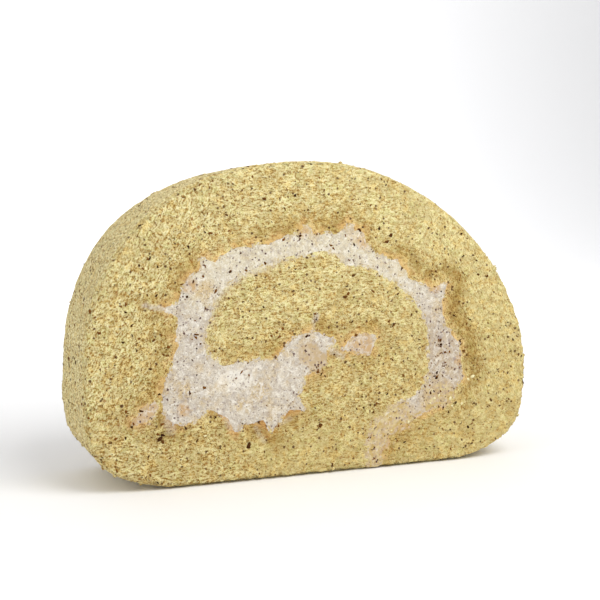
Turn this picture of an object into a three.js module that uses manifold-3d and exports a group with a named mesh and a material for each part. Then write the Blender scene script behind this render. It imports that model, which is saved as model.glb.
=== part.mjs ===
// A slice of swiss roll: one sponge sheet rolled up with a cream filling, cut 30 mm thick and
// stood on its flattened underside.
// Millimetres. X runs along the width of the cut face, Y through the slice and Z upwards.

import * as THREE from 'three';
import { ImprovedNoise } from 'three/addons/math/ImprovedNoise.js';
import { mergeVertices } from 'three/addons/utils/BufferGeometryUtils.js';
import Module from 'manifold-3d';

// The slice.
const WIDTH = 112;
const HEIGHT = 73;
const THICKNESS = 30;
const EDGE_RADIUS = 2.2; // soft edge round both cut faces
const WAIST_LEVEL = 24; // height of the widest part
const SAG_DEPTH = 25.2; // how far the underside would bulge below the waist if it weren't flattened

// How square each quarter of the outline is: 2 is an ellipse, more is fuller.
const SHOULDER_LEFT = 2.33;
const SHOULDER_RIGHT = 1.83;
const UNDERSIDE = 4;

// Crumb relief of the cut faces and the uneven baked skin.
const FACE_RELIEF = 0.7;
const FACE_RELIEF_LENGTH = 8;
const SKIN_UNEVENNESS = 0.45;
const SKIN_UNEVENNESS_LENGTH = 17;
const SKIN_FADE = [1, 9]; // heights between which the unevenness comes in
const SAW_CUT = 0.05; // what the knife takes off each face before the relief

// The filling.
const GAP = 0.3; // between the cream and the sponge round it
const TORN_EDGE = 1.4; // unevenness of the cream against the porous inside of the sheet
const SMOOTH_EDGE = 0.35; // unevenness against the smooth outside of the first wrap
const TEAR_LENGTH = 3.4;
const FINE_TEARS = 2.3; // smaller tears to each large one
const FINE_TEAR_SHARE = 0.6;
const TORN_ROW = 1.5; // where each side reads the noise
const SMOOTH_ROW = 4.5;
const SEAM_READS = 177.8; // how far along that noise the seam end of the cream lies
const THINNEST_CREAM = 0.5;
const DRIFT = { x: 1.6, z: 0.9, shrink: 0.03 }; // how the swirl moves from the front face to the back

// Course of the cream from the heart of the roll outwards: x, z and half its thickness there.
const CREAM_COURSE = [
  // hump beside the rolled-in end of the sheet
  [0.1, 28.7, 2.4], [-1.6, 28.7, 4.4], [-5, 28.5, 4.2], [-8.1, 26.2, 3.8], [-10.9, 22, 5.5],
  // pool at the lower left
  [-15.2, 20.4, 6.9], [-21.4, 20.8, 6.3], [-27.2, 22.4, 4.9], [-32, 26.4, 4.5],
  // up the left side
  [-32.3, 31, 3.1], [-32.2, 35.5, 3.4], [-31.2, 40, 3.3], [-28.8, 44.2, 2.9],
  // across the top
  [-21.8, 49.2, 2.6], [-12.8, 52.2, 2.2], [-3, 54, 2.2], [2.4, 53.9, 2.2], [7, 52.4, 3.9],
  [10.8, 50.5, 2], [17.8, 46.8, 1.4], [22, 43.6, 1.5],
  // down the right side
  [25.8, 41, 2.4], [28.6, 37.4, 2.8], [30.2, 32, 2.7], [31.6, 27, 3.8], [32, 22.3, 4.3],
  // back under the roll, thinning to the seam that opens at the underside
  [29.6, 18, 3.2], [25.3, 15.2, 2.3], [16.5, 10.4, 2.1], [13.4, 6.8, 1.7], [12.9, 3, 1.1], [13.2, -4, 0.9],
];

// Tears in the sheet that the cream has run into: root and tip of each as x, z, and its width.
const CREAM_SPIKES = [
  { root: [5.2, 54], tip: [6.4, 58.2], width: 6.8 },
  { root: [-5, 55.4], tip: [-4.8, 57.8], width: 3.6 },
  { root: [-27.4, 47.4], tip: [-29.3, 50.3], width: 5.4 },
  { root: [-34.2, 39.2], tip: [-37.6, 39.8], width: 3.2 },
  { root: [29, 40.8], tip: [31.9, 43.8], width: 4.4 },
  { root: [34, 21], tip: [37, 20.6], width: 5.4 },
  { root: [-10.4, 18.6], tip: [-5.6, 15.9], width: 5.6 },
  { root: [-13.4, 14.6], tip: [-13.4, 11.5], width: 4.6 },
  { root: [-21.7, 16.4], tip: [-21.9, 11.8], width: 5.4 },
  { root: [-1, 31], tip: [2.4, 31.1], width: 3 },
  { root: [-16.8, 25.2], tip: [-11.6, 27.2], width: 3.6 },
];

// The lowest bulge of the pool, then the lumps of cream apart from the course, as corners x, z.
const BULGE_CORNERS = [
  [-35, 28.6], [-37.1, 25.8], [-38.4, 21.8], [-38.5, 17.6], [-37.2, 15.2],
  [-34.6, 14.3], [-31.4, 15.1], [-28.8, 17.2], [-27, 22],
];
const CORE_CORNERS = [[4.6, 29.3], [7.6, 31.9], [12.9, 32.1], [11.5, 27.7], [8.2, 28.2]];
const PATCH_CORNERS = [[-45.2, 15.4], [-42.8, 18.2], [-40.2, 19.7], [-40.6, 17.4], [-42.3, 15.6]];

// How finely the surfaces are divided.
const OUTLINE_POINTS = 96;
const SKIN_STEPS = 3;
const EDGE_STEPS = 2;
const FACE_CELL = 4;
const CREAM_STEP = 1.4;
const LUMP_POINTS = 20;
const LUMP_ROUNDNESS = 0.12;
const SHARPEST_CORNER = 1; // least squared length of two summed edge normals that is followed

const MERGE_DISTANCE = 1e-4;
const SPONGE_COLOUR = 0xd3bf86;
const CREAM_COLOUR = 0xdfd1ba;

const noise = new ImprovedNoise();
const wasm = await Module();
wasm.setup();

// ---- Closed meshes and solids ---------------------------------------------------------------

function toSolid(geometry) {
  geometry.deleteAttribute('normal');
  geometry.deleteAttribute('uv');
  const merged = mergeVertices(geometry, MERGE_DISTANCE);
  const mesh = new wasm.Mesh({
    numProp: 3,
    vertProperties: new Float32Array(merged.attributes.position.array),
    triVerts: new Uint32Array(merged.index.array),
  });
  return new wasm.Manifold(mesh);
}

function toGeometry(solid) {
  const mesh = solid.getMesh();
  const geometry = new THREE.BufferGeometry();
  geometry.setAttribute('position', new THREE.BufferAttribute(new Float32Array(mesh.vertProperties), 3));
  geometry.setIndex(new THREE.BufferAttribute(new Uint32Array(mesh.triVerts), 1));
  geometry.computeVertexNormals();
  return geometry;
}

function movePoints(geometry, move) {
  const position = geometry.attributes.position;
  const point = new THREE.Vector3();
  for (let i = 0; i < position.count; i += 1) {
    move(point.fromBufferAttribute(position, i));
    position.setXYZ(i, point.x, point.y, point.z);
  }
}

// An outline drawn in x, z becomes a prism along Y, centred on the slice.
function prism(points, length, edges = { steps: 1, bevelEnabled: false }) {
  const geometry = new THREE.ExtrudeGeometry(new THREE.Shape(points), { depth: length, ...edges });
  geometry.translate(0, 0, -length / 2);
  geometry.rotateX(Math.PI / 2);
  return geometry;
}

// ---- The roll as one slab -------------------------------------------------------------------

// Four superellipse quarters, cut off flat below, then evenly spaced points along them.
function rollOutline() {
  const points = [];
  for (let i = 0; i < 3 * OUTLINE_POINTS; i += 1) {
    const turn = (2 * Math.PI * i) / (3 * OUTLINE_POINTS);
    const across = Math.cos(turn);
    const up = Math.sin(turn);
    const shoulder = across < 0 ? SHOULDER_LEFT : SHOULDER_RIGHT;
    const power = 2 / (up < 0 ? UNDERSIDE : shoulder);
    const reach = up < 0 ? SAG_DEPTH : HEIGHT - WAIST_LEVEL;
    const x = (WIDTH / 2) * Math.sign(across) * Math.abs(across) ** power;
    const z = WAIST_LEVEL + reach * Math.sign(up) * Math.abs(up) ** power;
    points.push(new THREE.Vector2(x, Math.max(z, 0)));
  }
  return new THREE.Shape(points).getSpacedPoints(OUTLINE_POINTS).slice(0, OUTLINE_POINTS);
}

// The baked skin waves in and out, but never beyond the outline and not where the slice stands.
function unevenSkin(point) {
  const lifted = THREE.MathUtils.smoothstep(point.z, ...SKIN_FADE);
  const at = point.clone().divideScalar(SKIN_UNEVENNESS_LENGTH);
  const dip = SKIN_UNEVENNESS * lifted * (0.5 + noise.noise(at.x, at.y, at.z));
  const inwards = new THREE.Vector3(-point.x, 0, WAIST_LEVEL - point.z).normalize();
  point.addScaledVector(inwards, Math.max(dip, 0));
}

// A block whose front and back are the two cut faces, wider and taller than the roll.
function cutFaces() {
  const block = new THREE.BoxGeometry(
    WIDTH + 2 * FACE_CELL,
    THICKNESS,
    HEIGHT + 2 * FACE_CELL,
    Math.round(WIDTH / FACE_CELL),
    1,
    Math.round(HEIGHT / FACE_CELL),
  );
  block.translate(0, 0, HEIGHT / 2);
  movePoints(block, (point) => {
    const side = Math.sign(point.y);
    const across = point.x / FACE_RELIEF_LENGTH;
    const up = point.z / FACE_RELIEF_LENGTH;
    const dip = 0.5 + 0.5 * noise.noise(across, side * FACE_RELIEF_LENGTH, up);
    point.y -= side * (SAW_CUT + FACE_RELIEF * dip);
  });
  return toSolid(block);
}

function rollSlab() {
  const body = prism(rollOutline(), THICKNESS - 2 * EDGE_RADIUS, {
    steps: SKIN_STEPS,
    bevelEnabled: true,
    bevelThickness: EDGE_RADIUS,
    bevelSize: EDGE_RADIUS,
    bevelOffset: -EDGE_RADIUS,
    bevelSegments: EDGE_STEPS,
  });
  movePoints(body, unevenSkin);
  return toSolid(body).intersect(cutFaces());
}

// ---- The cream ------------------------------------------------------------------------------

// Every corner of an outline moves away from it, square to the two edges that meet there.
function grown(points, margin) {
  const loop = THREE.ShapeUtils.isClockWise(points) ? [...points].reverse() : points;
  return loop.map((point, i) => {
    const into = point.clone().sub(loop.at(i - 1)).normalize();
    const out = loop[(i + 1) % loop.length].clone().sub(point).normalize();
    const away = new THREE.Vector2(into.y + out.y, -into.x - out.x);
    const mitre = (2 * margin) / Math.max(away.lengthSq(), SHARPEST_CORNER);
    return point.clone().addScaledVector(away, mitre);
  });
}

// The swirl isn't quite the same at the back of the slice as at the front.
function drift(point) {
  const back = (point.y + THICKNESS / 2) / THICKNESS;
  const scale = 1 - DRIFT.shrink * back;
  point.x = point.x * scale + DRIFT.x * back;
  point.z = WAIST_LEVEL + (point.z - WAIST_LEVEL) * scale + DRIFT.z * back;
}

// An outline becomes a cutter that passes right through the slice, larger all round by a margin.
function through(outline, margin) {
  const cutter = prism(grown(outline, margin), THICKNESS + 2 * FACE_CELL);
  movePoints(cutter, drift);
  return toSolid(cutter);
}

function unevenness(arc, size, row) {
  const coarse = noise.noise(arc / TEAR_LENGTH, row, 0.5);
  const fine = noise.noise((FINE_TEARS * arc) / TEAR_LENGTH, row, 7.5);
  return size * (coarse + FINE_TEAR_SHARE * fine);
}

// Up the torn side of the course and back down its smooth side.
function creamOutline() {
  const stations = CREAM_COURSE.map(([x, z, half]) => new THREE.Vector3(x, z, half));
  const course = new THREE.CatmullRomCurve3(stations, false, 'centripetal');
  const count = Math.round(course.getLength() / CREAM_STEP);
  const torn = [];
  const smooth = [];
  for (let i = 0; i <= count; i += 1) {
    const at = course.getPointAt(i / count);
    const along = course.getTangentAt(i / count);
    const left = new THREE.Vector2(-along.y, along.x).normalize();
    const middle = new THREE.Vector2(at.x, at.y);
    const arc = SEAM_READS - (count - i) * CREAM_STEP;
    const tornHalf = at.z + unevenness(arc, TORN_EDGE, TORN_ROW);
    const smoothHalf = at.z + unevenness(arc, SMOOTH_EDGE, SMOOTH_ROW);
    torn.push(middle.clone().addScaledVector(left, Math.max(tornHalf, THINNEST_CREAM)));
    smooth.push(middle.clone().addScaledVector(left, -Math.max(smoothHalf, THINNEST_CREAM)));
  }
  return [...torn, ...smooth.reverse()];
}

function spikeOutline({ root, tip, width }) {
  const foot = new THREE.Vector2(...root);
  const point = new THREE.Vector2(...tip);
  const heading = point.clone().sub(foot).normalize();
  const left = new THREE.Vector2(-heading.y, heading.x);
  return [
    foot.clone().addScaledVector(left, -width / 2),
    point.clone().addScaledVector(left, -THINNEST_CREAM / 2),
    point.clone().addScaledVector(left, THINNEST_CREAM / 2),
    foot.clone().addScaledVector(left, width / 2),
  ];
}

function creamCourse(margin) {
  const spikes = CREAM_SPIKES.map((spike) => through(spikeOutline(spike), margin));
  const course = through(creamOutline(), margin).add(lump(BULGE_CORNERS, margin));
  return spikes.reduce((cream, spike) => cream.add(spike), course);
}

// A lump of cream with softly rounded corners.
function lump(corners, margin) {
  const points = corners.map(([x, z]) => new THREE.Vector3(x, z, 0));
  const loop = new THREE.CatmullRomCurve3(points, true, 'catmullrom', LUMP_ROUNDNESS);
  const around = loop.getSpacedPoints(LUMP_POINTS).slice(0, LUMP_POINTS);
  return through(around.map((point) => new THREE.Vector2(point.x, point.y)), margin);
}

// ---- The part -------------------------------------------------------------------------------

function piece(name, solid, material) {
  const mesh = new THREE.Mesh(toGeometry(solid), material);
  mesh.name = name;
  return mesh;
}

const crumb = new THREE.MeshStandardMaterial({ color: SPONGE_COLOUR, roughness: 0.95, metalness: 0 });
const filling = new THREE.MeshStandardMaterial({ color: CREAM_COLOUR, roughness: 0.5, metalness: 0 });

const slab = rollSlab();
const sponge = slab
  .subtract(creamCourse(GAP))
  .subtract(lump(CORE_CORNERS, GAP))
  .subtract(lump(PATCH_CORNERS, GAP));

const slice = new THREE.Group();
slice.add(piece('sponge', sponge, crumb));
slice.add(piece('cream', slab.intersect(creamCourse(0)), filling));
slice.add(piece('cream_core', slab.intersect(lump(CORE_CORNERS, 0)), filling));
slice.add(piece('cream_patch', slab.intersect(lump(PATCH_CORNERS, 0)), filling));

// The origin is at the middle of the footprint, on the surface that the slice stands on.
const extent = new THREE.Box3().setFromObject(slice, true);
const middle = extent.getCenter(new THREE.Vector3());
slice.position.set(-middle.x, -middle.y, -extent.min.z);

export default slice;
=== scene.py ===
"""A slice of swiss roll: open yellow crumb with tea specks, a cream swirl and loose crumbs."""

import math

import bmesh
import bpy
import numpy as np
from bpy.props import FloatProperty, FloatVectorProperty, IntProperty, PointerProperty
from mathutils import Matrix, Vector, noise
from mathutils.bvhtree import BVHTree


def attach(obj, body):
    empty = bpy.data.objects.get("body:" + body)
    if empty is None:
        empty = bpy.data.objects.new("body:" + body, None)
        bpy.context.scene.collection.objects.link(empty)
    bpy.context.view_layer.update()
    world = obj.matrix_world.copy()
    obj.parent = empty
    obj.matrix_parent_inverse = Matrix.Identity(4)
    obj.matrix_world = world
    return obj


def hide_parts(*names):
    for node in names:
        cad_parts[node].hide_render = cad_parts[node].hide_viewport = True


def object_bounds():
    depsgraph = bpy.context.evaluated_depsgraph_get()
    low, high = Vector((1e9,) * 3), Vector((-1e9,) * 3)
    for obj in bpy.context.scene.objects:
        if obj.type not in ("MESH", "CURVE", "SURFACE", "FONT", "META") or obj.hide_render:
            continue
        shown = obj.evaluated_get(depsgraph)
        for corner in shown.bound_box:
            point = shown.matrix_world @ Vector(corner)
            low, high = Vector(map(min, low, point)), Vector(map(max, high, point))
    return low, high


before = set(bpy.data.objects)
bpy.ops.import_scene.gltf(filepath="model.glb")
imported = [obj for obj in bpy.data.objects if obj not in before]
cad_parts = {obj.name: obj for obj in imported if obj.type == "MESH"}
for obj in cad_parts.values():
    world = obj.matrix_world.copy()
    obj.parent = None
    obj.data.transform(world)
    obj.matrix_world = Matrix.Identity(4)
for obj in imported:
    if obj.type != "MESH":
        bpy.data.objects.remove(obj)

bl_info = {
    "name": "Swiss roll slice",
    "version": (1, 0, 0),
    "blender": (4, 5, 0),
    "location": "3D View > Sidebar > Swiss roll",
    "description": "Dresses the solids of a swiss roll slice: crumb, cream, tea specks and crumbs",
    "category": "Object",
}

CAD_BOX = [Vector(corner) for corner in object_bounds()]
MM = 0.001
CREAM_NODES = ("cream", "cream_core", "cream_patch")

# Middle of the roll in the cut face, about which the sheet is wound.
HEART = Vector((0.0, 0.0, 28.0)) * MM

# Round zones of the cut face. Each is x and z of its middle, and its radius, in millimetres.
# Cream that is stained through.
STAINED_PATCHES = ((-33.9, 22.0, 2.0), (-16.0, 20.4, 2.2), (-20.5, 17.5, 1.6), (-29.0, 44.0, 2.0))
# Crumb and cream torn into each other, low on the right.
TORN_PATCHES = ((17.5, 9.5, 7.0), (30.5, 15.5, 4.5), (13.0, 3.5, 4.0))
# The tan stain at the heart of the roll.
HEART_STAINS = ((-4.0, 28.4, 2.7), (-1.2, 25.6, 3.0))
# Cream so thin that peach crumb shows through.
THIN_PATCHES = (
    (9.0, 30.2, 3.4), (-43.5, 17.0, 4.4), (28.8, 43.3, 1.8), (36.0, 25.0, 1.4),
    (-32.4, 44.6, 1.6), (-5.6, 56.4, 1.4), (9.8, 54.2, 1.9), (-34.0, 17.5, 1.4),
)
# Painted highlight: soft white glare on the cream of the pool.
GLARE_PATCHES = ((-24.0, 23.6, 2.4), (-20.0, 23.8, 2.4))
# Crumb that is a little darker than the rest of its winding.
SHADED_PATCHES = ((-41.0, 40.5, 3.2), (-39.3, 12.6, 2.4), (3.5, 41.0, 3.6))
# Cream at the right, full of sunk tea and crumb.
SOILED_ZONE = (34.0, 25.0, 13.0)
# The left of the inner winding, where cream has run into the crumb as a pale veil.
VEIL_ZONE = (-20.0, 44.5, 11.0)
# Round the heart of the roll, where the crumb has drawn fat on all sides.
HEART_ZONE = (3.5, 28.0, 10.5)
# The pool, where the cream holds little tea.
POOL_ZONE = (-22.0, 22.0, 12.0)

# Painted highlights: pale flecks raised on the front where light glints, mostly low on the right:
# x, z and width in millimetres.
GLINT_BITS = (
    (40.1, 20.7, 1.3), (38.7, 20.1, 0.9), (36.9, 14.1, 0.9), (34.3, 13.7, 0.6),
    (33.6, 15.6, 1.0), (22.0, 10.6, 0.8), (17.4, 8.9, 0.6), (29.2, 15.9, 0.8),
    (30.4, 16.6, 0.8), (28.1, 14.8, 0.6), (-29.1, 11.3, 0.9),
)

# The largest clusters of tea leaf on the front: x and z in millimetres.
TEA_CLUSTERS = (
    (-39.4, 12.1), (9.9, 9.3), (-1.7, 11.4), (28.5, 46.3), (9.2, 56.5), (32.5, 41.6),
    (17.4, 34.4), (11.5, 39.4), (41.0, 13.7), (41.5, 46.9), (-50.0, 11.5), (-37.5, 30.5),
    (-44.0, 33.0), (-24.0, 60.0), (36.5, 30.0), (31.7, 26.9), (30.3, 29.0), (31.4, 24.2),
    (29.4, 21.8), (27.2, 18.3), (37.5, 26.6), (-1.3, 23.9), (-2.5, 37.0),
)

# The largest flakes of tea leaf on the front: x, z and length in millimetres.
TEA_FLAKES = (
    (-39.3, 11.4, 1.9), (-38.6, 12.2, 1.3), (-39.8, 12.5, 1.2), (-19.0, 8.2, 1.5),
    (7.3, 46.4, 1.4), (17.9, 34.3, 1.3), (5.0, 41.3, 1.3), (-1.1, 11.4, 1.3),
    (16.7, 55.7, 1.3), (12.3, 42.3, 1.2), (-10.5, 34.4, 1.2), (-52.0, 35.1, 1.2),
    (29.3, 47.0, 1.2), (-53.8, 39.6, 1.1), (-46.6, 17.9, 1.1), (-38.6, 14.7, 1.1),
    (15.6, 54.0, 1.1), (19.9, 47.8, 1.1), (-27.7, 56.1, 1.1), (-15.0, 63.7, 1.1),
)

# How much denser the specks lie at the middle of a large cluster and of a small one.
LARGE_CLUSTER, SMALL_CLUSTER = 60.0, 20.0

# The middle of the ribbon of cream at the right, where tea lies thick, and how far that reaches.
TEA_RIBBON = Vector((31.0, -15.0, 28.0)) * MM
TEA_RIBBON_SIZE = Vector((4.0, 20.0, 12.0)) * MM

# The middle of the pool, where tea is sparse, and how far that reaches.
TEA_POOL = Vector((-22.0, -15.0, 21.0)) * MM
TEA_POOL_SIZE = Vector((16.0, 20.0, 7.0)) * MM

# Thin smears of cream on the cut face: x and z of both ends and the half width, in millimetres,
# and how thick the smear is, from 0 to 1.
SMEARS = (
    ((-42.5, 40.6), (-35.5, 39.3), 0.55, 0.9),
    ((-2.3, 37.2), (-2.7, 36.2), 0.8, 1.0),
    ((-2.7, 36.0), (-3.2, 33.4), 0.35, 0.6),
    ((1.6, 28.9), (4.4, 27.5), 0.9, 0.8),
    ((-37.4, 15.2), (-36.9, 13.2), 1.3, 0.5),
    ((-24.0, 14.6), (-23.3, 13.0), 0.9, 0.5),
    ((-17.0, 12.0), (-15.2, 8.8), 0.7, 0.35),
    ((-12.5, 12.4), (-8.5, 13.6), 0.6, 0.35),
)

# Zones of a mesh's faces.
SKIN, FRONT, BACK, WALL = range(4)

# Faces whose normals lean less than this from the slice's axis, as a cosine, are cut faces.
CUT_NORMAL = 0.85

# How close cream has to be for a face of the sponge to be a wall of its channel.
WALL_REACH = 0.6 * MM

# How far the search for the nearest cream or sponge goes.
SEARCH = 12 * MM

# Corners closer than WELD are one corner, and a cut closer than SNAP to a corner goes through it.
WELD = 0.002 * MM
SNAP = 0.001 * MM

# How often an edge can be halved.
HALVINGS = 7

# Seeds of the bends in the crumb's relief, which Blender would otherwise take from the clock, of
# the tea specks and of the crumbs.
RELIEF_SEED, SPECK_SEED, CRUMB_SEED = 5, 41, 7

# What the sponge notes on each corner for its colours: depth in a pore, share of skin, distance to
# the cream in millimetres, whether it lies outside the cream's winding, and share of smeared cream.
NOTES = ("pit", "skin", "near", "outer", "smear")

# Where the camera stands, in metres, its sensor's width in millimetres, and its near limit.
EYE = (-0.0906, -0.2178, 0.0559)
SENSOR_WIDTH = 36
NEAR_LIMIT = 5 * MM

# The lights: place, the place they face and width, in metres, and tint.
LIGHTS = {
    "key": ((0.12, -0.26, 0.36), (0, 0, 0.035), 0.3, (1.0, 0.995, 0.97)),
    "fill": ((-0.7, -0.15, 0.3), (0, 0, 0.035), 0.6, (0.98, 0.99, 1.0)),
    "wall": ((0, 0.5, 0.9), (0.3, 1.6, 0.3), 0.8, (1.0, 1.0, 1.0)),
}

# The backdrop: half the floor's width, the wall's height and the radius between them, in metres.
FLOOR_HALF, WALL_HEIGHT, SWEEP = 1.6, 2.4, 0.7


# ---- Settings --------------------------------------------------------------------------------


def number(name, description, default, **kind):
    return FloatProperty(name=name, description=description, default=default, **kind)


def length(name, description, default):
    """A length given in millimetres."""
    return number(name, description, default * MM, unit="LENGTH", precision=5)


def amount(name, description, default):
    """A whole number of pieces."""
    return IntProperty(name=name, description=description, default=default, min=0)


def colour(name, description, red, green, blue):
    """A colour given as it looks on screen, from 0 to 255, kept as linear light."""
    linear = tuple(((c / 255 + 0.055) / 1.055) ** 2.4 for c in (red, green, blue))
    return FloatVectorProperty(
        name=name, description=description, default=linear, size=3, min=0, max=1, subtype="COLOR"
    )


class SpongeSettings(bpy.types.PropertyGroup):
    """The rolled sponge sheet."""

    front_cell: length("Front detail", "Grid on the front cut face", 0.36)
    back_cell: length("Back detail", "Grid on the back cut face", 0.6)
    skin_cell: length("Skin detail", "Longest edge on the outside of the roll", 1.3)
    reach: length("Reach", "How far the sponge presses towards the cream", 0.16)
    pore_size: length("Pore spacing", "Distance between the larger pores", 1.5)
    pore_depth: length("Pore depth", "Depth of the larger pores", 0.25)
    fibre_depth: length("Fibre relief", "Height of the fibrous crumb between the pores", 0.12)
    lump_depth: length("Lump relief", "Height of the broad unevenness of the cut", 0.12)
    crease_depth: length("Crease relief", "Depth of the creases along the skin", 0.14)
    fibre_size: length("Fibre size", "Width of the fibres of the crumb", 0.42)
    # From deep to bright, the crumb's colours hold its own tone with painted shade in gaps and
    # pores and painted highlights on the fibres.
    bright: colour("Bright crumb", "Tips of the fibres", 238, 230, 186)
    light: colour("Light crumb", "Crumb that catches the light", 228, 218, 165)
    middle: colour("Crumb", "Most of the crumb", 214, 199, 141)
    dark: colour("Dark crumb", "Gaps between the fibres", 188, 158, 86)
    deep: colour("Deep crumb", "Bottoms of the gaps and pores", 128, 90, 24)
    golden: colour("Golden tint", "Tint of crumb that has browned", 255, 243, 217)
    green: colour("Green tint", "Tint of greener crumb", 247, 250, 235)
    # The soaked tint also paints the shade towards the bottom of the crumb.
    soaked_and_shade: colour("Soaked tint", "Tint of crumb moist with cream", 224, 212, 185)
    margin: colour("Margin tint", "Tint of crumb where it meets cream", 252, 228, 206)
    peach: colour("Peach", "Edge of the crumb that has drawn fat from the cream", 219, 183, 124)
    rust: colour("Rust tint", "Tint of browned crumb under the pool of cream", 236, 206, 182)
    skin: colour("Skin", "Outside of the roll", 212, 192, 126)
    dust: colour("Tea dust", "Fine tea dust in the crumb", 76, 40, 10)
    stain: colour("Tea stain", "Crumb stained round the tea", 148, 98, 36)


class CreamSettings(bpy.types.PropertyGroup):
    """The cream filling."""

    cell: length("Detail", "Grid on the cut faces of the cream", 0.36)
    reach: length("Reach", "How far the cream presses towards the sponge", 0.18)
    wave_depth: length("Wave relief", "Height of the smears left by the knife", 0.18)
    warm: colour("Warm cream", "Cream across the top", 210, 200, 173)
    cool: colour("Cool cream", "Cream at the left and in the pool", 198, 188, 172)
    stained: colour("Stained cream", "Cream that has taken up colour", 200, 174, 122)
    soiled: colour("Soiled cream", "Cream at the right, full of tea and crumb", 176, 154, 124)
    torn: colour("Torn cream", "Cream torn into the crumb low on the right", 186, 158, 126)
    tan: colour("Tan cream", "Stain at the heart of the roll", 190, 166, 128)
    thin: colour("Thin cream", "Peach crumb that shows through thin cream", 194, 155, 100)
    # Pale cream is also the colour of the painted glare in the pool and of the painted glints round
    # bubbles.
    pale: colour("Pale cream", "Streaks of thicker cream", 240, 235, 224)
    speck: colour("Sunk tea", "Tea under the surface of the cream", 150, 134, 126)
    dust: colour("Tea dust", "Tea on the surface of the cream", 84, 52, 50)


class SpeckSettings(bpy.types.PropertyGroup):
    """The tea leaf specks."""

    face_count: amount("Specks", "Specks on each cut face", 1700)
    skin_count: amount("Skin specks", "Specks on the skin", 2600)
    skin_growth: number("Skin growth", "How much larger the skin's specks are", 1.6)
    cluster_count: amount("Clusters", "Small clusters of specks", 240)
    cluster_size: length("Cluster size", "How far specks lie from the middle of a cluster", 0.6)
    smallest: length("Smallest", "Length of the smallest speck", 0.22)
    largest: length("Largest", "Length of the largest speck", 1.0)
    dark: colour("Dark tea", "Darkest specks", 54, 30, 18)
    brown: colour("Brown tea", "Palest specks", 124, 80, 36)


class CrumbSettings(bpy.types.PropertyGroup):
    """The loose crumbs."""

    face_count: amount("Crumbs", "Crumbs on each cut face", 70)
    edge_count: amount("Edge crumbs", "Crumbs along the edges", 320)
    smallest: length("Smallest", "Width of the smallest crumb", 0.35)
    largest: length("Largest", "Width of the largest crumb", 1.1)


class StageSettings(bpy.types.PropertyGroup):
    """The floor, the lights and the camera."""

    lens: number("Lens", "Focal length in millimetres", 58)
    yaw: number("Yaw", "How far the camera looks right", math.radians(22.5), subtype="ANGLE")
    pitch: number("Pitch", "How far the camera looks down", math.radians(3.9), subtype="ANGLE")
    floor: colour("Floor", "Floor and backdrop", 250, 250, 251)
    key: number("Key light", "Power of the main light", 1.22, unit="POWER")
    fill: number("Fill light", "Power of the fill light", 1.0, unit="POWER")
    wall: number("Wall light", "Power of the backdrop's light", 12, unit="POWER")
    sky: number("Sky", "Strength of the even light all round", 0.6)


def settings(group):
    return getattr(bpy.context.scene, "swiss_roll_" + group)


# ---- Shader maths ----------------------------------------------------------------------------


class Value:
    """A socket of a material. Arithmetic on it adds Math nodes."""

    def __init__(self, finish, socket):
        self.finish = finish
        self.socket = socket

    def math(self, operation, *others):
        sockets = dict(enumerate((self, *others)))
        return self.finish.node("ShaderNodeMath", {"operation": operation}, sockets)

    def __add__(self, other):
        return self.math("ADD", other)

    __radd__ = __add__

    def __mul__(self, other):
        return self.math("MULTIPLY", other)

    __rmul__ = __mul__

    def __sub__(self, other):
        return self.math("SUBTRACT", other)

    def __rsub__(self, other):
        return (self - other) * -1.0

    def rise(self, low, high):
        """0 below low, 1 above high and smooth between, or the reverse where low is higher."""
        made = {"interpolation_type": "SMOOTHSTEP"}
        return self.finish.node("ShaderNodeMapRange", made, {0: self, 1: low, 2: high})


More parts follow.
